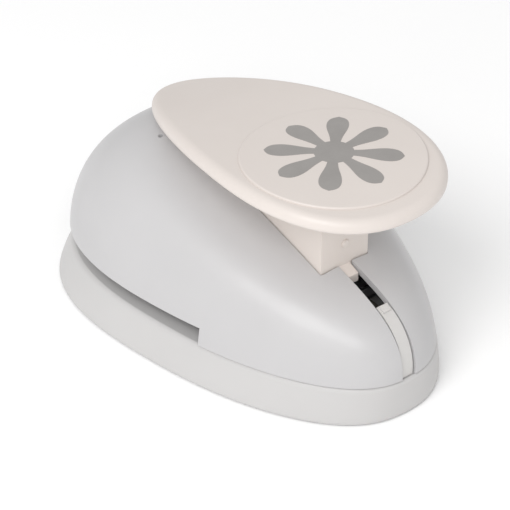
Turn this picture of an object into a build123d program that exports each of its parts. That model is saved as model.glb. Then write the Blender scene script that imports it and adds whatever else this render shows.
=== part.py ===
from build123d import *
import math
import os

# Lever craft punch: an egg-shaped plastic housing on a flat base, a teardrop lever on top,
# a flower punch and die inside, and a sliding storage lock in the nose.
#
# Millimetres, +Z up, +X towards the nose. The X values below are counted from a line near the
# punch, and write() moves the finished parts so that the origin is under the middle of the base.

# ---------------------------------------------------------------- flower
FLOWER_SIZE = 38.1          # punched flower, tip to tip
FLOWER_RADIUS = FLOWER_SIZE / 2
PETALS = 8
HUB_SHARE = 0.29            # radius of the flower's hub, as a share of the flower's
PETAL_OUTLINE = ((0.0, 0.062), (0.42, 0.094), (0.76, 0.162), (0.94, 0.104))   # along, half width

# ---------------------------------------------------------------- base
BASE_NOSE = 69.6            # furthest point of the base towards the nose
BASE_TAIL = -62.3
BASE_HALF_WIDTH = 41.9
BASE_TAPER = -0.23          # negative: narrower at the nose
BASE_POWER = 2.4            # outline: 2 is an ellipse, more is squarer
BASE_LEAN = 3.9             # the sides and tail lean in this much from the floor to the deck
FOOT_HEIGHT = 0.5           # the pads lift the tray this much
DECK_TOP = 12.2             # top of the base, where the paper slides
DECK_THICK = 2.2
DECK_EDGE_RADIUS = 1.0
TRAY_WALL = 2.4
CHIP_HOLE_RADIUS = 21.0
COVER_BOTTOM = 1.0
COVER_TOP = 3.0
FOOT_RADIUS = 4.9
FOOT_TOP = 1.6

# ---------------------------------------------------------------- screws
SCREW_RADIUS = 1.5
SCREW_HOLE_RADIUS = 1.6
SCREW_HEAD_RADIUS = 2.8
SCREW_HEAD_Z = 0.75         # the screws under the base sit above the table
COVER_SCREW_RADIUS = 1.3
CROSS_RECESS = (1.6, 0.3, 0.9)   # half length, half width and depth of a screw's cross

# ---------------------------------------------------------------- housing
HOUSING_NOSE = 69.4
HOUSING_TAIL = -59.4
HOUSING_HALF_WIDTH = 38.9
HOUSING_TAPER = -0.224
HOUSING_POWER = 2.33
HOUSING_WALL = 2.2
HOUSING_TOP = 54.0          # crown height at the rear of the lever opening
CROWN_X = -24.0
CROWN_HALF_WIDTH = 7.0
CROWN_TAPER = -0.43
SIDE_POWER = 3.8            # shoulder of the sides, squarer than the tail
TAIL_POWER = 1.96
NOSE_CLIMB_POWER = 1.4      # the rings bunch together low on the nose
RING_STEPS = (0.0, 0.10, 0.22, 0.36, 0.5, 0.64, 0.78, 0.9, 1.0)
RING_POINTS = 32
SLOT_HEIGHT = 5.95          # paper slot, deck to the raised edge of the housing
SLOT_FRONT_X = 21.5         # the housing stands on the base in front of this
OPENING_REAR_X = -28.5
OPENING_FRONT_X = 42.0
OPENING_HALF_WIDTH = 8.8
NOSE_SLOT_HALF_WIDTH = 2.4
DIMPLE_PLACE = (-21.8, 14.9)     # small blind hole in the crown, on each side of the hinge
DIMPLE_RADIUS = 0.7
DIMPLE_BOTTOM = 50.6
SEAM_HEIGHT = 0.35          # shadow gap round the housing's bottom edge, above the base
SEAM_DEPTH = 0.9
SEAM_OVERLAP = 1.0          # the gap's cutter reaches this far outside the housing
SCREW_POST_RADIUS = 3.6
SCREW_TIP_Z = 22.0

# ---------------------------------------------------------------- hinge
HINGE_X = -22.0
HINGE_Z = 42.0
PIN_RADIUS = 2.0
PIN_HALF_LENGTH = 14.6
PIN_GROOVE_RADIUS = 1.5
CLIP_RADIUS = 3.8
CLIP_THICK = 0.8
CLIP_STARTS = (-13.2, 12.4)
EAR_HALF_LENGTH = 7.0
EAR_INNER_Y = 9.8
EAR_OUTER_Y = 12.4
BUSH_RADIUS = 3.6           # bushes of the lever, on the pin
BUSH_FLANGE_RADIUS = 4.6
BUSH_FLANGE_THICK = 0.7
RUNNING_CLEARANCE = 0.05

# ---------------------------------------------------------------- lever
LEVER_NOSE = 67.4
LEVER_TAIL = -38.4
LEVER_HALF_WIDTH = 27.55
LEVER_TAPER = 0.333         # positive: wider at the nose
LEVER_POWER = 2.19
LEVER_RIM = 4.0             # depth of the rim
LEVER_RIM_WIDTH = 3.5
LEVER_SKIN = 3.2            # thickness of the top
LEVER_TOP_FILLET = 2.7
LEVER_UNDER_FILLET = 1.1
LEVER_CREST_X = 40.0        # the top is a shallow arc in side view, highest here
LEVER_CREST_Z = 67.9
LEVER_ARC_RADIUS = 262.0
LEVER_WEB = 2.4             # top web of the lever's core, under the cap
LEVER_BOSS_RADIUS = 3.2
LEVER_SCREW_X = (-14.0, 13.0, 33.0)
LEVER_SCREW_HEAD = 4.4
PAD_X = 35.9
PAD_RADIUS = 25.66
PAD_RISE = 0.60             # the pad follows the lever's arc, this much above it
PAD_BOTTOM = 65.9
PAD_FILLET = 0.5
LABEL_THICK = 0.4
LABEL_PROUD = 0.06
LABEL_SHIFT = (-0.6, 0.8)   # the label sits slightly off the pad's centre
BLOCK_HALF_WIDTH = 8.5
BLOCK_FRONT_X = 41.6
BLOCK_REAR_X = -26.4
BLOCK_WALL = 2.2
TAB_END_X = 45.3            # tab under the block's front, which the lock's hook holds
TAB_HALF_WIDTH = 1.95
BUTTON_Z = 42.3             # small round boss on the block's front
BUTTON_RADIUS = 1.25
BUTTON_PROUD = 0.75
BUTTON_ROUND = 0.6

# ---------------------------------------------------------------- punch and die
DIE_X = -2.0                # centre of the punch and die
DIE_PLATE_THICK = 3.0
DIE_REAR_X = DIE_X - 25.0
DIE_FRONT_X = DIE_X + 37.0
DIE_HALF_WIDTH = 28.0
PAPER_GAP = 1.2
GUIDE_BOTTOM = DECK_TOP + PAPER_GAP
GUIDE_TOP = GUIDE_BOTTOM + 3.0
CUT_CLEARANCE = 0.06
PUNCH_REST_Z = 13.6         # cutting edge of the punch with the lever up
PUNCH_TOP = 24.0
HEAD_TOP = 27.0
HEAD_RADIUS = 21.5
HEAD_ARM = 6.0              # half width of the head's arms, past the guide posts
HEAD_BOSS_RADIUS = 6.0
HEAD_BOSS_THICK = 2.9
HEAD_STEM_RADIUS = 2.1
HEAD_SCREW_X = 3.6          # distance of the head's two screws from its centre
HEAD_SCREW_RADIUS = 1.2
HEAD_SCREW_DEPTH = 4.8
PRESS_CONTACT_Z = 34.0
PRESS_GAP = 0.1
PRESS_ROUND = 7.0           # radius of the press stud's domed face
PRESS_RADIUS = 4.6
PRESS_STEM_RADIUS = 3.0
PRESS_HEAD_TOP = 36.6
POST_RADIUS = 2.5
POST_Y = 23.5
POST_TOP_Z = 32.0
CARRIER_BUSH_RADIUS = 3.8
SPRING_RADIUS = 4.2
SPRING_WIRE_GAP = 0.6

# ---------------------------------------------------------------- storage lock
LOCK_X = 51.7               # the lock strip slides round this centre in side view
LOCK_Z = 14.1
LOCK_RADIUS = 16.9
LOCK_THICK = 1.6
LOCK_HALF_WIDTH = 1.95
LOCK_BOTTOM_DEG = -5.5
LOCK_TOP_DEG = 71.0
FLANGE_INNER = 12.9         # radii and half width of the flange that runs behind the housing wall
FLANGE_OUTER = 14.1
FLANGE_HALF_WIDTH = 4.2
HOOK_INNER = 11.5
HOOK_OUTER = 13.5
HOOK_ROOT_DEG = 66.0
HOOK_TIP_DEG = 102.0
RETAINER_INNER = 10.9
RETAINER_OUTER = 15.4
RETAINER_HALF_WIDTH = 6.6
RETAINER_WALL = 2.0


# ---------------------------------------------------------------- shape helpers
def egg_points(nose, tail, half_width, taper, power, count=RING_POINTS):
    """Points round an egg outline, starting at the tail."""
    middle = (nose + tail) / 2
    half_length = (nose - tail) / 2
    points = []
    for step in range(count):
        angle = math.pi + 2 * math.pi * step / count
        size = (abs(math.cos(angle)) ** power + abs(math.sin(angle)) ** power) ** (1 / power)
        along = math.cos(angle) / size
        across = math.sin(angle) / size
        points.append((middle + half_length * along, half_width * across * (1 + taper * along)))
    return points


def egg_face(nose, tail, half_width, taper, power, height=0.0):
    points = [(x, y, height) for x, y in egg_points(nose, tail, half_width, taper, power)]
    return Face(Wire([Edge.make_spline([Vector(*p) for p in points], periodic=True)]))


def egg_slab(nose, tail, half_width, taper, power, bottom, top):
    face = egg_face(nose, tail, half_width, taper, power, bottom)
    return extrude(face, amount=top - bottom, dir=(0, 0, 1))


def block(x_low, x_high, y_low, y_high, z_low, z_high):
    size = (x_high - x_low, y_high - y_low, z_high - z_low)
    middle = ((x_low + x_high) / 2, (y_low + y_high) / 2, (z_low + z_high) / 2)
    return Pos(*middle) * Box(*size)


def post(x, y, bottom, top, radius):
    return Pos(x, y, (bottom + top) / 2) * Cylinder(radius, top - bottom)


def cross_bar(x, z, y_low, y_high, radius):
    """A round bar along Y."""
    return Pos(x, (y_low + y_high) / 2, z) * Rot(X=90) * Cylinder(radius, y_high - y_low)


def side_profile(points, y_low, y_high):
    """A closed outline in the XZ plane, made into a solid between two Y values."""
    outline = Polyline(*[(x, y_low, z) for x, z in points], close=True)
    return extrude(Face(Wire(outline.edges())), amount=y_high - y_low, dir=(0, 1, 0))


def arc_band(inner, outer, from_deg, to_deg, y_low, y_high):
    """Part of a ring round the lock's centre, seen from the side."""
    def at(radius, degrees):
        angle = math.radians(degrees)
        return (LOCK_X + radius * math.cos(angle), y_low, LOCK_Z + radius * math.sin(angle))

    middle = (from_deg + to_deg) / 2
    edges = [
        Line(at(inner, from_deg), at(outer, from_deg)),
        ThreePointArc(at(outer, from_deg), at(outer, middle), at(outer, to_deg)),
        Line(at(outer, to_deg), at(inner, to_deg)),
        ThreePointArc(at(inner, to_deg), at(inner, middle), at(inner, from_deg)),
    ]
    return extrude(Face(Wire([curve.edge() for curve in edges])), amount=y_high - y_low, dir=(0, 1, 0))


def flower_face(grow=0.0):
    """Eight petals round a small disc, each narrow at the hub and slightly pointed at its tip."""
    side = [(FLOWER_RADIUS * along, FLOWER_RADIUS * half + grow) for along, half in PETAL_OUTLINE]
    tip = (FLOWER_RADIUS + grow, 0)
    upper = Spline(*side, tip, tangents=((1, 0.05), (0.45, -1)))
    lower = Spline(*[(x, -y) for x, y in side], tip, tangents=((1, -0.05), (0.45, 1)))
    root = Line((side[0][0], side[0][1]), (side[0][0], -side[0][1]))
    petal = make_face([upper.edge(), lower.edge(), root.edge()])
    flower = Circle(HUB_SHARE * FLOWER_RADIUS + grow)
    for number in range(PETALS):
        flower += Rot(Z=360 * number / PETALS) * petal
    return flower


def flower_prism(x, y, bottom, top, grow=0.0):
    return Pos(x, y, bottom) * extrude(flower_face(grow), amount=top - bottom)


def pan_screw(x, y, head_z, tip_z, shank_radius, head_height):
    """A screw driven upwards: head below, shank above, with a cross recess in the head."""
    half_length, half_width, depth = CROSS_RECESS
    screw = post(x, y, head_z, head_z + head_height, SCREW_HEAD_RADIUS)
    screw += post(x, y, head_z + head_height, tip_z, shank_radius)
    screw -= block(x - half_length, x + half_length, y - half_width, y + half_width, head_z, head_z + depth)
    screw -= block(x - half_width, x + half_width, y - half_length, y + half_length, head_z, head_z + depth)
    return screw


def lever_top_z(x, drop=0.0):
    return LEVER_CREST_Z - drop - (x - LEVER_CREST_X) ** 2 / (2 * LEVER_ARC_RADIUS)


def below_lever_arc(drop, bottom=20.0, half_width=45.0):
    """Everything under the lever's arched top, lowered by drop."""
    rear = LEVER_TAIL - 5
    front = LEVER_NOSE + 5
    middle = (rear + front) / 2
    arch = ThreePointArc(
        (rear, -half_width, lever_top_z(rear, drop)),
        (middle, -half_width, lever_top_z(middle, drop)),
        (front, -half_width, lever_top_z(front, drop)))
    sides = Polyline(
        (front, -half_width, lever_top_z(front, drop)), (front, -half_width, bottom),
        (rear, -half_width, bottom), (rear, -half_width, lever_top_z(rear, drop)))
    return extrude(Face(Wire([arch.edge(), *sides.edges()])), amount=2 * half_width, dir=(0, 1, 0))


# ---------------------------------------------------------------- base parts
def base_ring(height, inset=0.0):
    """Outline of the base at a height. Its sides and tail lean in, and its nose is upright."""
    lean = BASE_LEAN * (height / DECK_TOP) ** 1.5
    return egg_face(
        BASE_NOSE - inset, BASE_TAIL + lean + inset, BASE_HALF_WIDTH - lean - inset,
        BASE_TAPER, BASE_POWER, height)


def deck_edge_ring(drop):
    """The outline this far below the deck, on the rounded upper edge."""
    share = 1 - drop / DECK_EDGE_RADIUS
    return base_ring(DECK_TOP - drop, DECK_EDGE_RADIUS * (1 - math.sqrt(1 - 0.9 * share ** 2)))


def housing_screw_places():
    return [(40.5, 23.5), (40.5, -23.5), (54.5, 13.0), (54.5, -13.0)]


def cover_screw_places():
    return [(-50.0, 18.0), (-50.0, -18.0)]


def die_screw_places():
    return [(DIE_FRONT_X - 5, y) for y in (22.0, 8.0, -8.0, -22.0)]


def foot_places():
    return [(28.0, 27.5), (28.0, -27.5), (-38.0, 28.0), (-38.0, -28.0)]


def make_base_tray():
    deck_under = DECK_TOP - DECK_THICK
    seat_z = DECK_TOP - DIE_PLATE_THICK
    outer = loft([
        base_ring(FOOT_HEIGHT, 0.35), base_ring(1.0, 0.12), base_ring(1.7, 0.02), base_ring(4.0), base_ring(7.0),
        base_ring(9.5), deck_edge_ring(DECK_EDGE_RADIUS), deck_edge_ring(0.4), deck_edge_ring(0.1),
        deck_edge_ring(0.0)])
    hollow = loft([base_ring(height, TRAY_WALL) for height in (FOOT_HEIGHT, 4.0, 7.0, deck_under)])
    die_seat = block(DIE_REAR_X - 3, DIE_FRONT_X + 3, -DIE_HALF_WIDTH - 3, DIE_HALF_WIDTH + 3,
                     seat_z - 2.4, deck_under)
    tray = outer - hollow + (die_seat & outer)
    tray -= block(DIE_REAR_X, DIE_FRONT_X, -DIE_HALF_WIDTH, DIE_HALF_WIDTH, seat_z, DECK_TOP + 1)
    tray -= post(DIE_X, 0, 0, DECK_TOP, CHIP_HOLE_RADIUS)
    for x, y in housing_screw_places():
        tray += post(x, y, COVER_TOP, deck_under, 4.0)
        tray -= post(x, y, COVER_TOP, DECK_TOP, SCREW_HOLE_RADIUS)
    for x, y in cover_screw_places():
        tray += post(x, y, COVER_TOP, deck_under, 3.4)
        tray -= post(x, y, COVER_TOP, deck_under, COVER_SCREW_RADIUS)
    for x, y in die_screw_places():
        tray -= post(x, y, 2.0, DECK_TOP, SCREW_HOLE_RADIUS)
    return tray


def make_bottom_cover():
    outline = base_ring(COVER_TOP, TRAY_WALL + 0.15)
    cover = extrude(outline, amount=COVER_TOP - COVER_BOTTOM, dir=(0, 0, -1))
    cover -= post(DIE_X, 0, 0, 5, CHIP_HOLE_RADIUS)
    for x, y in housing_screw_places() + cover_screw_places():
        cover -= post(x, y, 0, 5, SCREW_HOLE_RADIUS)
        cover -= post(x, y, 0, 1.7, SCREW_HEAD_RADIUS + 0.3)
    for x, y in foot_places():
        cover -= post(x, y, 0, FOOT_TOP, FOOT_RADIUS + 0.1)
    return cover


def make_foot_pads():
    return [post(x, y, 0, FOOT_TOP, FOOT_RADIUS) for x, y in foot_places()]


def make_housing_screws():
    return [pan_screw(x, y, SCREW_HEAD_Z, SCREW_TIP_Z, SCREW_RADIUS, 0.95) for x, y in housing_screw_places()]


def make_cover_screws():
    return [pan_screw(x, y, SCREW_HEAD_Z, 9.0, COVER_SCREW_RADIUS, 0.95) for x, y in cover_screw_places()]


# ---------------------------------------------------------------- housing parts
def nose_line():
    """Centre line of the housing's front in side view, from the base up to the lever opening."""
    points = ((HOUSING_NOSE, DECK_TOP), (67.3, 22.0), (60.4, 28.7), (48.0, 33.9), (35.7, 37.7))
    return Spline(*[(x, 0, z) for x, z in points], tangents=((0.02, 0, 1), (-1, 0, 0.30)))


def housing_ring(step, inset, nose):
    """One closed ring of the housing. Step 0 is the bottom edge, step 1 the crown."""
    angle = step * math.pi / 2
    sideways = inset * math.cos(angle)
    down = inset * math.sin(angle)
    front = nose @ (step ** NOSE_CLIMB_POWER)
    rear_x = CROWN_X - (CROWN_X - HOUSING_TAIL) * math.cos(angle) ** (2 / TAIL_POWER)
    rear_z = DECK_TOP + (HOUSING_TOP - DECK_TOP) * math.sin(angle) ** (2 / TAIL_POWER)
    widening = math.cos(angle) ** (2 / SIDE_POWER)
    half_width = CROWN_HALF_WIDTH + (HOUSING_HALF_WIDTH - CROWN_HALF_WIDTH) * widening
    taper = HOUSING_TAPER + (CROWN_TAPER - HOUSING_TAPER) * step
    centre = Vector((front.X + rear_x) / 2, 0, (front.Z + rear_z) / 2 - down)
    reach = Vector((front.X - rear_x) / 2, 0, (front.Z - rear_z) / 2)
    along = reach.normalized()
    points = []
    for x, y in egg_points(reach.length - sideways, sideways - reach.length, half_width - sideways,
                           taper, HOUSING_POWER):
        points.append(centre + along * x + Vector(0, y, 0))
    return Face(Wire([Edge.make_spline(points, periodic=True)]))


def housing_solid(inset, overrun=0.0):
    """The filled housing shape, drawn in by inset and run on downwards by overrun."""
    nose = nose_line()
    rings = [housing_ring(step, inset, nose) for step in RING_STEPS]
    if overrun:
        rings.insert(0, Pos(0, 0, -overrun) * rings[0])
    return loft(rings)


def opening_cutter():
    """The lever's opening in the crown, with rounded front corners."""
    cutter = block(OPENING_REAR_X, OPENING_FRONT_X, -OPENING_HALF_WIDTH, OPENING_HALF_WIDTH, 30, 70)
    return fillet(cutter.edges().filter_by(Axis.Z), 0.9)


def seam_cutter():
    """A thin ring round the housing's bottom edge, for the shadow gap above the base."""
    nose = nose_line()
    outside = extrude(housing_ring(0, -SEAM_OVERLAP, nose), amount=SEAM_HEIGHT, dir=(0, 0, 1))
    inside = extrude(housing_ring(0, SEAM_DEPTH, nose), amount=SEAM_HEIGHT, dir=(0, 0, 1))
    return outside - inside


def make_dome_housing():
    outer = housing_solid(0.0)
    shell = outer - housing_solid(HOUSING_WALL, overrun=3.0) - seam_cutter()
    for low, high in ((EAR_INNER_Y, EAR_OUTER_Y), (-EAR_OUTER_Y, -EAR_INNER_Y)):
        ear = block(HINGE_X - EAR_HALF_LENGTH, HINGE_X + EAR_HALF_LENGTH, low, high, HINGE_Z - 6, HOUSING_TOP)
        shell += ear & outer
    for x, y in housing_screw_places():
        shell += post(x, y, DECK_TOP, 40, SCREW_POST_RADIUS) & outer
    shell -= opening_cutter()
    shell -= block(OPENING_FRONT_X - 2, BASE_NOSE + 5, -NOSE_SLOT_HALF_WIDTH, NOSE_SLOT_HALF_WIDTH, 0, 60)
    shell -= block(HOUSING_TAIL - 5, SLOT_FRONT_X, -60, 60, 0, DECK_TOP + SLOT_HEIGHT)
    shell -= cross_bar(HINGE_X, HINGE_Z, -20, 20, PIN_RADIUS)
    for side in (-1, 1):
        shell -= post(DIMPLE_PLACE[0], side * DIMPLE_PLACE[1], DIMPLE_BOTTOM, HOUSING_TOP, DIMPLE_RADIUS)
    for x, y in housing_screw_places():
        shell -= post(x, y, DECK_TOP, SCREW_TIP_Z, SCREW_RADIUS)
    return shell


def make_pivot_pin():
    pin = cross_bar(HINGE_X, HINGE_Z, -PIN_HALF_LENGTH, PIN_HALF_LENGTH, PIN_RADIUS)
    for start in CLIP_STARTS:
        groove = cross_bar(HINGE_X, HINGE_Z, start, start + CLIP_THICK, PIN_RADIUS)
        pin -= groove - cross_bar(HINGE_X, HINGE_Z, start, start + CLIP_THICK, PIN_GROOVE_RADIUS)
    return pin


def make_pin_clips():
    clips = []
    for start in CLIP_STARTS:
        clip = cross_bar(HINGE_X, HINGE_Z, start, start + CLIP_THICK, CLIP_RADIUS)
        clip -= cross_bar(HINGE_X, HINGE_Z, start, start + CLIP_THICK, PIN_GROOVE_RADIUS)
        clip -= block(HINGE_X - 1.2, HINGE_X + 1.2, start, start + CLIP_THICK, HINGE_Z - 5, HINGE_Z)
        clips.append(clip)
    return clips


# ---------------------------------------------------------------- punch and die parts
def die_block(bottom, top):
    return block(DIE_REAR_X, DIE_FRONT_X, -DIE_HALF_WIDTH, DIE_HALF_WIDTH, bottom, top)


def post_places():
    return [(DIE_X, POST_Y), (DIE_X, -POST_Y)]


def head_screw_places():
    return [(DIE_X + HEAD_SCREW_X, 0), (DIE_X - HEAD_SCREW_X, 0)]


def make_die_plate():
    plate = die_block(DECK_TOP - DIE_PLATE_THICK, DECK_TOP)
    plate -= flower_prism(DIE_X, 0, DECK_TOP - 5, DECK_TOP + 1, CUT_CLEARANCE)
    for x, y in die_screw_places():
        plate -= post(x, y, 0, 20, SCREW_RADIUS)
    return plate


def make_gap_spacers():
    spacers = []
    for y_low, y_high in ((-26.0, -4.0), (4.0, 26.0)):
        bar = block(DIE_FRONT_X - 9, DIE_FRONT_X - 1, y_low, y_high, DECK_TOP, GUIDE_BOTTOM)
        for x, y in die_screw_places():
            bar -= post(x, y, 0, 20, SCREW_RADIUS)
        spacers.append(bar)
    return spacers


def make_guide_plate():
    plate = die_block(GUIDE_BOTTOM, GUIDE_TOP)
    plate = fillet(plate.edges().filter_by(Axis.Z), 3.0)
    plate -= flower_prism(DIE_X, 0, GUIDE_BOTTOM - 1, GUIDE_TOP + 1, CUT_CLEARANCE)
    for x, y in die_screw_places():
        plate -= post(x, y, 0, 20, SCREW_RADIUS)
    for x, y in post_places():
        plate -= post(x, y, 0, 20, POST_RADIUS)
    return plate


def make_die_screws():
    return [pan_screw(x, y, 5.2, GUIDE_TOP - 0.2, SCREW_RADIUS, 1.6) for x, y in die_screw_places()]


def make_guide_posts():
    posts = []
    for x, y in post_places():
        shaft = post(x, y, GUIDE_BOTTOM, POST_TOP_Z, POST_RADIUS)
        posts.append(chamfer(shaft.edges().sort_by(Axis.Z)[-1], 0.5))
    return posts


def make_male_die():
    die = flower_prism(DIE_X, 0, PUNCH_REST_Z, PUNCH_TOP)
    for x, y in head_screw_places():
        die -= post(x, y, PUNCH_TOP - HEAD_SCREW_DEPTH - 0.2, PUNCH_TOP, HEAD_SCREW_RADIUS)
    return die


def make_punch_head():
    boss_top = PRESS_CONTACT_Z - PRESS_GAP
    head = post(DIE_X, 0, PUNCH_TOP, HEAD_TOP, HEAD_RADIUS)
    head += block(DIE_X - HEAD_ARM, DIE_X + HEAD_ARM, -POST_Y - 6, POST_Y + 6, PUNCH_TOP, HEAD_TOP)
    head += post(DIE_X, 0, HEAD_TOP, boss_top, HEAD_STEM_RADIUS)
    head += block(DIE_X - 1.6, DIE_X + 1.6, -6, 6, HEAD_TOP, boss_top - HEAD_BOSS_THICK)
    head += post(DIE_X, 0, boss_top - HEAD_BOSS_THICK, boss_top, HEAD_BOSS_RADIUS)
    for x, y in post_places():
        head -= post(x, y, 0, 40, CARRIER_BUSH_RADIUS)
    for x, y in head_screw_places():
        head -= post(x, y, 0, HEAD_TOP, HEAD_SCREW_RADIUS)
        head -= post(x, y, HEAD_TOP - 1.2, HEAD_TOP, 2.2)
    return head


def make_carrier_bushes():
    bushes = []
    for x, y in post_places():
        sleeve = post(x, y, PUNCH_TOP, HEAD_TOP + 1.5, CARRIER_BUSH_RADIUS)
        bushes.append(sleeve - post(x, y, 0, 50, POST_RADIUS + RUNNING_CLEARANCE))
    return bushes


def make_head_screws():
    screws = []
    for x, y in head_screw_places():
        head = post(x, y, HEAD_TOP - 1.2, HEAD_TOP - 0.1, 2.1)
        shank = post(x, y, PUNCH_TOP - HEAD_SCREW_DEPTH, HEAD_TOP - 1.2, HEAD_SCREW_RADIUS)
        socket = Pos(x, y, HEAD_TOP - 0.5) * extrude(RegularPolygon(0.9, 6), amount=0.6)
        screws.append(head + shank - socket)
    return screws


def make_return_springs():
    springs = []
    for x, y in post_places():
        coil = post(x, y, GUIDE_TOP + 0.05, PUNCH_TOP - 0.05, SPRING_RADIUS)
        springs.append(coil - post(x, y, 0, 40, POST_RADIUS + SPRING_WIRE_GAP))
    return springs


# ---------------------------------------------------------------- lever parts
def lever_slab(inset):
    return egg_slab(LEVER_NOSE - inset, LEVER_TAIL + inset, LEVER_HALF_WIDTH - inset,
                    LEVER_TAPER, LEVER_POWER, 40, 80)


def make_lever_cap():
    body = lever_slab(0.0) & below_lever_arc(0.0, 30) - below_lever_arc(LEVER_RIM, 30)
    rims = body.edges().filter_by(lambda edge: edge.length > 60).sort_by(Axis.Z)
    body = fillet(rims[-1:], LEVER_TOP_FILLET)
    rims = body.edges().filter_by(lambda edge: edge.length > 60).sort_by(Axis.Z)
    body = fillet(rims[:1], LEVER_UNDER_FILLET)
    body -= lever_slab(LEVER_RIM_WIDTH) & below_lever_arc(LEVER_SKIN, 30)
    body -= post(PAD_X, 0, PAD_BOTTOM, 80, PAD_RADIUS)
    for x in LEVER_SCREW_X:
        under = lever_top_z(x, LEVER_SKIN)
        body += post(x, 0, under - LEVER_WEB, under + 0.6, LEVER_BOSS_RADIUS)
        body -= post(x, 0, 40, under + 0.6, COVER_SCREW_RADIUS)
    return body


def label_prism(bottom_drop, top_drop):
    """The flower on the pad, between two heights below the lever's arc."""
    prism = flower_prism(PAD_X + LABEL_SHIFT[0], LABEL_SHIFT[1], PAD_BOTTOM, PAD_BOTTOM + 10)
    return prism & (below_lever_arc(top_drop) - below_lever_arc(bottom_drop))


def make_pad_disc():
    disc = post(PAD_X, 0, PAD_BOTTOM, PAD_BOTTOM + 10, PAD_RADIUS) & below_lever_arc(-PAD_RISE)
    disc = fillet(disc.edges().sort_by(Axis.Z)[-1], PAD_FILLET)
    return disc - label_prism(LABEL_THICK - PAD_RISE, -PAD_RISE - 1)


def make_flower_label():
    return label_prism(LABEL_THICK - PAD_RISE, -PAD_RISE - LABEL_PROUD)


def make_lever_core():
    outline = [(BLOCK_REAR_X, 60), (BLOCK_FRONT_X, 72), (BLOCK_FRONT_X, 33.6), (30, 34.4), (8, 37.6),
               (-14, 38.0), (-17, HINGE_Z - 5), (-25, HINGE_Z - 4.6), (BLOCK_REAR_X, HINGE_Z)]
    core = side_profile(outline, -BLOCK_HALF_WIDTH, BLOCK_HALF_WIDTH) & below_lever_arc(LEVER_SKIN)
    inside = BLOCK_HALF_WIDTH - BLOCK_WALL
    core -= (block(BLOCK_REAR_X + 2.4, BLOCK_FRONT_X - BLOCK_WALL, -inside, inside, 20, 80)
             & below_lever_arc(LEVER_SKIN + LEVER_WEB))
    stiffeners = post(DIE_X, 0, PRESS_HEAD_TOP, 64, 5.0)
    for x in (4.0, 22.0):
        stiffeners += block(x, x + 1.8, -inside - 1, inside + 1, 42, 64)
    core += stiffeners & below_lever_arc(LEVER_SKIN)
    core -= post(DIE_X, 0, 30, 42, PRESS_STEM_RADIUS)
    tab = [(39.6, 30.2), (TAB_END_X - 0.7, 30.2), (TAB_END_X, 31.0), (TAB_END_X, 33.5),
           (41.0, 35.4), (39.6, 35.4)]
    core += side_profile(tab, -TAB_HALF_WIDTH, TAB_HALF_WIDTH)
    button = Pos(BLOCK_FRONT_X, 0, BUTTON_Z) * Rot(Y=90) * Cylinder(BUTTON_RADIUS, 2 * BUTTON_PROUD)
    core += fillet(button.edges().sort_by(Axis.X)[-1], BUTTON_ROUND)
    core -= cross_bar(HINGE_X, HINGE_Z, -20, 20, BUSH_RADIUS)
    for x in LEVER_SCREW_X:
        core -= post(x, 0, 50, 80, LEVER_BOSS_RADIUS + 0.05)
    return core


def make_pivot_bushes():
    bushes = []
    inside = BLOCK_HALF_WIDTH - BLOCK_WALL
    outside = BLOCK_HALF_WIDTH + BUSH_FLANGE_THICK
    for sleeve_low, sleeve_high, flange_low, flange_high in (
            (inside, BLOCK_HALF_WIDTH, BLOCK_HALF_WIDTH, outside),
            (-BLOCK_HALF_WIDTH, -inside, -outside, -BLOCK_HALF_WIDTH)):
        bush = cross_bar(HINGE_X, HINGE_Z, sleeve_low, sleeve_high, BUSH_RADIUS)
        bush += cross_bar(HINGE_X, HINGE_Z, flange_low, flange_high, BUSH_FLANGE_RADIUS)
        bushes.append(bush - cross_bar(HINGE_X, HINGE_Z, -20, 20, PIN_RADIUS + RUNNING_CLEARANCE))
    return bushes


def make_press_button():
    """A hardened stud with a domed face, which rolls on the punch head as the lever turns."""
    stem = post(DIE_X, 0, PRESS_HEAD_TOP - 1, 42.0, PRESS_STEM_RADIUS)
    dome = Pos(DIE_X, 0, PRESS_CONTACT_Z + PRESS_ROUND) * Sphere(PRESS_ROUND)
    head = dome & post(DIE_X, 0, PRESS_CONTACT_Z - 1, PRESS_HEAD_TOP, PRESS_RADIUS)
    return stem + head


def make_lever_screws():
    screws = []
    for x in LEVER_SCREW_X:
        seat = lever_top_z(x, LEVER_SKIN) - LEVER_WEB - 1.1
        head = post(x, 0, seat - 1.5, seat, LEVER_SCREW_HEAD)
        shank = post(x, 0, seat, lever_top_z(x, LEVER_SKIN) + 0.5, COVER_SCREW_RADIUS)
        screws.append(head + shank - block(x - 1.5, x + 1.5, -0.3, 0.3, seat - 1.5, seat - 0.7))
    return screws


# ---------------------------------------------------------------- storage lock parts
def make_lock_slider():
    strip_inner = LOCK_RADIUS - LOCK_THICK
    strip = arc_band(strip_inner, LOCK_RADIUS, LOCK_BOTTOM_DEG, LOCK_TOP_DEG,
                     -LOCK_HALF_WIDTH, LOCK_HALF_WIDTH)
    web = arc_band(FLANGE_OUTER - 0.3, strip_inner + 0.3, 2, 68, -1.6, 1.6)
    flange = arc_band(FLANGE_INNER, FLANGE_OUTER, 2, 74, -FLANGE_HALF_WIDTH, FLANGE_HALF_WIDTH)
    nub = arc_band(LOCK_RADIUS - 1, LOCK_RADIUS + 0.5, LOCK_TOP_DEG - 8.5, LOCK_TOP_DEG - 1.5, -1.35, 1.35)
    return strip + web + flange + nub


def make_lock_hook():
    """The catch under the flange. Slid back, its tip passes over the tab of the pressed lever."""
    root = arc_band(HOOK_INNER, FLANGE_INNER, HOOK_ROOT_DEG, 74.2, -1.8, 1.8)
    arm = arc_band(HOOK_INNER, HOOK_OUTER, 74.2, HOOK_TIP_DEG, -1.8, 1.8)
    return root + arm


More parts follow.
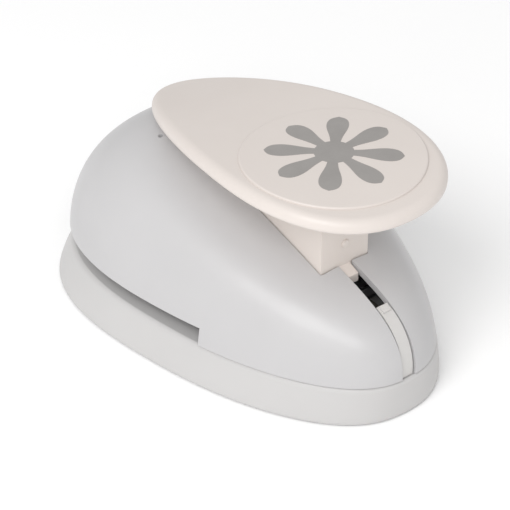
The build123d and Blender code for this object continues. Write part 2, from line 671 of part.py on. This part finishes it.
def make_lock_retainer(housing):
    back = arc_band(RETAINER_INNER, RETAINER_INNER + 1.7, 4, 60, -RETAINER_HALF_WIDTH, RETAINER_HALF_WIDTH)
    cheek_y = RETAINER_HALF_WIDTH - RETAINER_WALL
    for low, high in ((cheek_y, RETAINER_HALF_WIDTH), (-RETAINER_HALF_WIDTH, -cheek_y)):
        back += arc_band(RETAINER_INNER + 1.6, RETAINER_OUTER, 4, 60, low, high)
    return back - housing


# ---------------------------------------------------------------- output
def write(name, shape):
    """One node's STEP file, moved so that the origin is under the middle of the base."""
    parts = shape if isinstance(shape, list) else [shape]
    to_origin = Pos(-(BASE_NOSE + BASE_TAIL) / 2, 0, 0)
    solids = [to_origin * solid for part in parts for solid in part.solids()]
    export_step(Compound(children=solids), f"parts/{name}.step")


def main():
    os.makedirs("parts", exist_ok=True)
    housing = make_dome_housing()
    write("base_tray", make_base_tray())
    write("bottom_cover", make_bottom_cover())
    write("foot_pads", make_foot_pads())
    write("housing_screws", make_housing_screws())
    write("cover_screws", make_cover_screws())
    write("dome_housing", housing)
    write("pivot_pin", make_pivot_pin())
    write("pin_clips", make_pin_clips())
    write("die_plate", make_die_plate())
    write("gap_spacers", make_gap_spacers())
    write("guide_plate", make_guide_plate())
    write("die_screws", make_die_screws())
    write("guide_posts", make_guide_posts())
    write("return_springs", make_return_springs())
    write("lock_retainer", make_lock_retainer(housing))
    write("male_die", make_male_die())
    write("punch_head", make_punch_head())
    write("carrier_bushes", make_carrier_bushes())
    write("head_screws", make_head_screws())
    write("lever_cap", make_lever_cap())
    write("pad_disc", make_pad_disc())
    write("flower_label", make_flower_label())
    write("lever_core", make_lever_core())
    write("pivot_bushes", make_pivot_bushes())
    write("press_button", make_press_button())
    write("lever_screws", make_lever_screws())
    write("lock_slider", make_lock_slider())
    write("lock_hook", make_lock_hook())


main()
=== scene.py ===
"""Looks of the lever craft punch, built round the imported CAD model. Metres, same frame as the model."""
import math

import bmesh
import bpy
from mathutils import Matrix, Vector


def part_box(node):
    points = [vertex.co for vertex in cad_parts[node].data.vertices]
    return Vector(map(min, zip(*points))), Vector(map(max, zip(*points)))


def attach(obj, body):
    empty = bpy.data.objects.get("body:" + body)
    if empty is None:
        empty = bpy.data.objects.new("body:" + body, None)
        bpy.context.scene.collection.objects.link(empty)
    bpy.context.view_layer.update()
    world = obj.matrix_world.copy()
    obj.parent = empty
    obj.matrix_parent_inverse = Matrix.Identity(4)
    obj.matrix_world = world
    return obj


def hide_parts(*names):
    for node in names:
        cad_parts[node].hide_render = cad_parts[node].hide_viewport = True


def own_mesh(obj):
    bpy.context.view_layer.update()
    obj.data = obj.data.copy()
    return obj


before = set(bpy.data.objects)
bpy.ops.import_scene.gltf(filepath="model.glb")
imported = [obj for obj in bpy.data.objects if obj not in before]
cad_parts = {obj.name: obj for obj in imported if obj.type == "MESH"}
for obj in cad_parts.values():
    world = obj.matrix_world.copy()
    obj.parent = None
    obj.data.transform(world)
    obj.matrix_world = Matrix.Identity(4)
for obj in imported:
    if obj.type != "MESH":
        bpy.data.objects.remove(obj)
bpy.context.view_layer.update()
MM = 0.001

# ---------------------------------------------------------------- camera and light, in metres and degrees
CAMERA_AT = Vector((0.4032, -0.3299, 0.3820))
CAMERA_AZIMUTH = 50.78
CAMERA_ELEVATION = 34.96
CAMERA_NEAR = 0.01
LENS_MM = 154.0
SENSOR_MM = 36

LIGHT_TARGET = (0, 0, 0.03)
LIGHTS = (                      # name, place, diameter, watts
    ("key", (0.35, -0.90, 1.05), 0.7, 7.4),
    ("front", (0.9, -0.7, 0.9), 0.5, 3.3),
    ("low", (0.50, -1.10, 0.62), 0.9, 1.3),
)
WORLD_COLOUR = (1.0, 1.0, 1.0, 1)
WORLD_STRENGTH = 0.70

FLOOR_SIZE = 6.0
FLOOR_WHITE = (1.0, 1.0, 1.0)
FLOOR_SHADE = (0.99, 0.99, 0.99)
FLOOR_ROUGHNESS = 0.8

# ---------------------------------------------------------------- rounding of the moulded edges
EDGE_WIDTHS_MM = {"base_tray": 0.25, "dome_housing": 0.22, "lever_core": 0.35, "lock_slider": 0.22}
EDGE_SEGMENTS = 3
EDGE_ANGLE = 50                 # only edges sharper than this many degrees

# ---------------------------------------------------------------- wound springs
SPRING_WIRE_RADIUS = 0.42 * MM
SPRING_TURNS = 5.5
SPRING_CLOSED_TURNS = 0.8       # flat turns at each end
SPRING_STEPS_PER_TURN = 40
SPRING_SIDES = 12

# ---------------------------------------------------------------- shader nodes
MIX_FACTOR = 0                  # sockets of a Mix node that mixes colours
MIX_A = 6
MIX_B = 7
MIX_RESULT = 2
PLASTIC_IOR = 1.47
COAT_ROUGHNESS = 0.18


# ---------------------------------------------------------------- camera and lights
def make_camera():
    """The camera looks along its azimuth and elevation, with its right side level."""
    azimuth = math.radians(CAMERA_AZIMUTH)
    elevation = math.radians(CAMERA_ELEVATION)
    right = Vector((math.cos(azimuth), math.sin(azimuth), 0))
    back = Vector((math.sin(azimuth) * math.cos(elevation), -math.cos(azimuth) * math.cos(elevation),
                   math.sin(elevation)))
    up = back.cross(right)
    data = bpy.data.cameras.new("camera")
    data.lens = LENS_MM
    data.sensor_width = SENSOR_MM
    data.clip_start = CAMERA_NEAR
    camera = bpy.data.objects.new("camera", data)
    turn = Matrix((right, up, back)).transposed().to_4x4()
    camera.matrix_world = Matrix.Translation(CAMERA_AT) @ turn
    bpy.context.scene.collection.objects.link(camera)
    bpy.context.scene.camera = camera


def area_light(name, place, size, power):
    """A round soft light at place, turned towards the object."""
    data = bpy.data.lights.new(name, "AREA")
    data.shape = "DISK"
    data.size = size
    data.energy = power
    light = bpy.data.objects.new(name, data)
    light.location = place
    aim = Vector(LIGHT_TARGET) - Vector(place)
    light.rotation_euler = aim.to_track_quat("-Z", "Y").to_euler()
    bpy.context.scene.collection.objects.link(light)


def make_lights():
    for name, place, size, power in LIGHTS:
        area_light(name, place, size, power)
    world = bpy.data.worlds.new("studio")
    bpy.context.scene.world = world
    world.use_nodes = True
    background = world.node_tree.nodes["Background"]
    background.inputs["Color"].default_value = WORLD_COLOUR
    background.inputs["Strength"].default_value = WORLD_STRENGTH
    bpy.context.scene.view_settings.view_transform = "Standard"


# ---------------------------------------------------------------- material nodes
def link(tree, a, out, b, into):
    tree.links.new(a.outputs[out], b.inputs[into])


def new_material(name):
    material = bpy.data.materials.new(name)
    material.use_nodes = True
    tree = material.node_tree
    shader = tree.nodes["Principled BSDF"]
    coords = tree.nodes.new("ShaderNodeTexCoord")
    return material, tree, shader, coords


def noise(tree, coords, scale, detail=3.0, roughness=0.5, stretch=None):
    """Noise in the object's own space, in metres. stretch scales each axis first."""
    node = tree.nodes.new("ShaderNodeTexNoise")
    node.inputs["Scale"].default_value = scale
    node.inputs["Detail"].default_value = detail
    node.inputs["Roughness"].default_value = roughness
    if stretch:
        mapping = tree.nodes.new("ShaderNodeMapping")
        mapping.inputs["Scale"].default_value = stretch
        link(tree, coords, "Object", mapping, "Vector")
        link(tree, mapping, "Vector", node, "Vector")
    else:
        link(tree, coords, "Object", node, "Vector")
    return node


def ranged(tree, source, output, low, high, from_low=0.3, from_high=0.7):
    """The source's values between from_low and from_high, spread over low to high."""
    node = tree.nodes.new("ShaderNodeMapRange")
    node.inputs["From Min"].default_value = from_low
    node.inputs["From Max"].default_value = from_high
    node.inputs["To Min"].default_value = low
    node.inputs["To Max"].default_value = high
    link(tree, source, output, node, "Value")
    return node


def tint_mix(tree, mask, colour_a, colour_b):
    """colour_a where the mask is 0 and colour_b where it is 1. colour_a may be another mix."""
    mix = tree.nodes.new("ShaderNodeMix")
    mix.data_type = "RGBA"
    if isinstance(colour_a, tuple):
        mix.inputs[MIX_A].default_value = (*colour_a, 1)
    else:
        tree.links.new(colour_a.outputs[MIX_RESULT], mix.inputs[MIX_A])
    mix.inputs[MIX_B].default_value = (*colour_b, 1)
    tree.links.new(mask.outputs["Result"], mix.inputs[MIX_FACTOR])
    return mix


def colour_from(tree, mix, shader):
    tree.links.new(mix.outputs[MIX_RESULT], shader.inputs["Base Color"])


def scaled(colour, share):
    return tuple(min(1.0, share * channel) for channel in colour)


def stacked_bump(tree, shader, layers):
    """Each layer is (height node, output, strength, distance in metres); they add up."""
    last = None
    for node, output, strength, distance in layers:
        bump = tree.nodes.new("ShaderNodeBump")
        bump.inputs["Strength"].default_value = strength
        bump.inputs["Distance"].default_value = distance
        link(tree, node, output, bump, "Height")
        if last:
            link(tree, last, "Normal", bump, "Normal")
        last = bump
    link(tree, last, "Normal", shader, "Normal")


def moulded_plastic(name, colour, shade, rough, grain=0.15, coat=0.0):
    """Moulded plastic: faint flow mottling, fine flecks and grain, handling marks in the gloss."""
    material, tree, shader, coords = new_material(name)
    flow = noise(tree, coords, 26, 4, 0.55)
    body = tint_mix(tree, ranged(tree, flow, "Fac", 0, 1), colour, shade)
    fleck = noise(tree, coords, 2600, 2, 0.6)
    fleck_mask = ranged(tree, fleck, "Fac", 0, 0.10, 0.62, 0.78)
    colour_from(tree, tint_mix(tree, fleck_mask, body, scaled(shade, 0.86)), shader)
    smudge = noise(tree, coords, 55, 5, 0.65)
    link(tree, ranged(tree, smudge, "Fac", rough - 0.05, rough + 0.07), "Result", shader, "Roughness")
    fine = noise(tree, coords, 1800, 3, 0.6)
    sink = noise(tree, coords, 34, 2, 0.4)
    stacked_bump(tree, shader, [(sink, "Fac", 0.05, 0.0004), (fine, "Fac", grain, 0.00003)])
    shader.inputs["Coat Weight"].default_value = coat
    shader.inputs["Coat Roughness"].default_value = COAT_ROUGHNESS
    shader.inputs["IOR"].default_value = PLASTIC_IOR
    return material


def ground_steel(name, colour, rough, stretch):
    """Ground or drawn steel with fine lines along one direction and faint stains."""
    material, tree, shader, coords = new_material(name)
    lines = noise(tree, coords, 900, 4, 0.7, stretch)
    stain = noise(tree, coords, 120, 4, 0.6)
    stain_mask = ranged(tree, stain, "Fac", 0, 1)
    colour_from(tree, tint_mix(tree, stain_mask, colour, scaled(colour, 0.78)), shader)
    shader.inputs["Metallic"].default_value = 1.0
    link(tree, ranged(tree, lines, "Fac", rough - 0.08, rough + 0.12), "Result", shader, "Roughness")
    stacked_bump(tree, shader, [(lines, "Fac", 0.25, 0.00002)])
    return material


def rubber(name, colour):
    """Matt rubber with grit and a little dust."""
    material, tree, shader, coords = new_material(name)
    grit = noise(tree, coords, 1400, 4, 0.7)
    dust = noise(tree, coords, 160, 4, 0.6)
    dust_mask = ranged(tree, dust, "Fac", 0, 0.6)
    colour_from(tree, tint_mix(tree, dust_mask, colour, scaled(colour, 1.5)), shader)
    link(tree, ranged(tree, dust, "Fac", 0.65, 0.9), "Result", shader, "Roughness")
    stacked_bump(tree, shader, [(grit, "Fac", 0.5, 0.00006)])
    return material


def printed_film(name, colour):
    """Grey printed flower: ink mottling, fine screen speckle, satin film."""
    material, tree, shader, coords = new_material(name)
    mottle = noise(tree, coords, 140, 4, 0.6)
    mottle_mask = ranged(tree, mottle, "Fac", 0, 1)
    ink = tint_mix(tree, mottle_mask, colour, scaled(colour, 0.93))
    screen = tree.nodes.new("ShaderNodeTexVoronoi")
    screen.inputs["Scale"].default_value = 3200
    link(tree, coords, "Object", screen, "Vector")
    dots = ranged(tree, screen, "Distance", 0.25, 0.0, 0.1, 0.45)
    colour_from(tree, tint_mix(tree, dots, ink, scaled(colour, 0.9)), shader)
    link(tree, ranged(tree, mottle, "Fac", 0.38, 0.5), "Result", shader, "Roughness")
    stacked_bump(tree, shader, [(mottle, "Fac", 0.1, 0.00003), (screen, "Distance", 0.05, 0.00001)])
    return material


def paint(node, material):
    """Give a CAD node a finished material in every slot."""
    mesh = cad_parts[node].data
    mesh.materials.clear()
    mesh.materials.append(material)


# ---------------------------------------------------------------- pieces
def spring_mesh(centre, bottom, top, coil_radius):
    """A round-wire compression spring with closed, flattened end turns."""
    mesh = bpy.data.meshes.new("coil")
    rings = int(SPRING_TURNS * SPRING_STEPS_PER_TURN)
    sides = SPRING_SIDES
    wire = SPRING_WIRE_RADIUS
    rising_turns = SPRING_TURNS - 2 * SPRING_CLOSED_TURNS
    height = top - bottom - 2 * wire
    vertices = []
    faces = []
    for ring in range(rings + 1):
        share = ring / rings
        angle = 2 * math.pi * SPRING_TURNS * share
        risen = min(max((share * SPRING_TURNS - SPRING_CLOSED_TURNS) / rising_turns, 0.0), 1.0)
        outward = Vector((math.cos(angle), math.sin(angle), 0))
        middle = Vector((*centre, bottom + wire + height * risen)) + outward * coil_radius
        for side in range(sides):
            around = 2 * math.pi * side / sides
            vertices.append(middle + outward * wire * math.cos(around)
                            + Vector((0, 0, wire * math.sin(around))))
    for ring in range(rings):
        for side in range(sides):
            a = ring * sides + side
            b = ring * sides + (side + 1) % sides
            faces.append((a, b, b + sides, a + sides))
    faces.append(tuple(reversed(range(sides))))
    faces.append(tuple(rings * sides + side for side in range(sides)))
    mesh.from_pydata(vertices, [], faces)
    return mesh


def joined(name, meshes):
    """Several meshes as one smooth-shaded object."""
    work = bmesh.new()
    for mesh in meshes:
        work.from_mesh(mesh)
    whole = bpy.data.meshes.new(name)
    bmesh.ops.recalc_face_normals(work, faces=work.faces)
    work.to_mesh(whole)
    work.free()
    piece = bpy.data.objects.new(name, whole)
    bpy.context.scene.collection.objects.link(piece)
    for polygon in whole.polygons:
        polygon.use_smooth = True
    return piece


def make_springs(material):
    """The two wound springs, in place of the CAD model's plain sleeves."""
    low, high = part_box("return_springs")
    outer = (high.x - low.x) / 2
    x = (low.x + high.x) / 2
    coils = []
    for side in (-1, 1):
        y = side * (high.y - outer)
        coils.append(spring_mesh((x, y), low.z, high.z, outer - SPRING_WIRE_RADIUS))
    springs = joined("return_springs_wound", coils)
    springs.data.materials.append(material)
    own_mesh(springs)
    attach(springs, "root")
    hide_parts("return_springs")


def make_floor():
    mesh = bpy.data.meshes.new("floor")
    half = FLOOR_SIZE / 2
    corners = [(-half, -half, 0), (half, -half, 0), (half, half, 0), (-half, half, 0)]
    mesh.from_pydata(corners, [], [(0, 1, 2, 3)])
    floor = bpy.data.objects.new("floor", mesh)
    bpy.context.scene.collection.objects.link(floor)
    material, tree, shader, coords = new_material("floor_white")
    paper = noise(tree, coords, 9, 3, 0.5)
    colour_from(tree, tint_mix(tree, ranged(tree, paper, "Fac", 0, 1), FLOOR_WHITE, FLOOR_SHADE), shader)
    shader.inputs["Roughness"].default_value = FLOOR_ROUGHNESS
    mesh.materials.append(material)


def soften_edges():
    """A small rounding on the moulded parts' sharp edges, which catches the light."""
    for node, width in EDGE_WIDTHS_MM.items():
        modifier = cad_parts[node].modifiers.new("edge", "BEVEL")
        modifier.width = width * MM
        modifier.segments = EDGE_SEGMENTS
        modifier.limit_method = "ANGLE"
        modifier.angle_limit = math.radians(EDGE_ANGLE)
        modifier.use_clamp_overlap = True


# ---------------------------------------------------------------- which piece gets which material
def paint_plastics():
    """Each plastic has two close colours, its roughness, and how much grain and clear coat it shows."""
    housing = moulded_plastic("housing_pearl", (0.520, 0.513, 0.517), (0.498, 0.491, 0.495), 0.40, coat=0.15)
    base = moulded_plastic("base_white", (0.543, 0.534, 0.528), (0.525, 0.515, 0.510), 0.46, coat=0.05)
    cream = moulded_plastic("lever_cream", (0.676, 0.620, 0.582), (0.649, 0.592, 0.555), 0.40,
                            grain=0.05, coat=0.08)
    block = moulded_plastic("block_cream", (0.74, 0.678, 0.634), (0.71, 0.648, 0.604), 0.36, grain=0.1)
    dark = moulded_plastic("hook_dark", (0.022, 0.019, 0.015), (0.017, 0.015, 0.012), 0.55, grain=0.2)
    lock = moulded_plastic("lock_white", (0.60, 0.586, 0.573), (0.573, 0.560, 0.546), 0.36, grain=0.1)
    inner = moulded_plastic("cover_matt", (0.60, 0.60, 0.60), (0.56, 0.56, 0.56), 0.6, grain=0.5)
    nylon = moulded_plastic("nylon", (0.76, 0.74, 0.70), (0.72, 0.70, 0.66), 0.5, grain=0.3)
    paint_all({
        housing: ["dome_housing"],
        base: ["base_tray"],
        cream: ["lever_cap", "pad_disc"],
        block: ["lever_core"],
        lock: ["lock_slider"],
        dark: ["lock_hook"],
        inner: ["bottom_cover", "lock_retainer"],
        nylon: ["pivot_bushes", "carrier_bushes"],
    })


def paint_metals():
    """Each steel has its colour, its roughness, and a stretch that sets the direction of its lines."""
    steel = ground_steel("die_steel", (0.55, 0.55, 0.57), 0.32, (1, 0.04, 1))
    bright = ground_steel("bright_steel", (0.70, 0.70, 0.71), 0.22, (1, 1, 0.05))
    screw = ground_steel("screw_steel", (0.58, 0.58, 0.60), 0.34, (1, 1, 0.3))
    paint_all({
        steel: ["die_plate", "guide_plate", "gap_spacers", "male_die", "punch_head"],
        bright: ["pivot_pin", "guide_posts", "press_button"],
        screw: ["housing_screws", "cover_screws", "die_screws", "head_screws", "lever_screws", "pin_clips"],
    })


def paint_all(finishes):
    for material, nodes in finishes.items():
        for node in nodes:
            paint(node, material)


def paint_everything():
    """Paint every CAD node, and return the material of the wound springs."""
    paint_plastics()
    paint_metals()
    wire = ground_steel("spring_wire", (0.45, 0.45, 0.47), 0.3, (0.3, 0.3, 1))
    paint_all({
        printed_film("label_grey", (0.305, 0.289, 0.276)): ["flower_label"],
        rubber("foot_rubber", (0.07, 0.07, 0.07)): ["foot_pads"],
        wire: ["return_springs"],
    })
    return wire


make_camera()
make_lights()
make_floor()
spring_wire = paint_everything()
soften_edges()
make_springs(spring_wire)
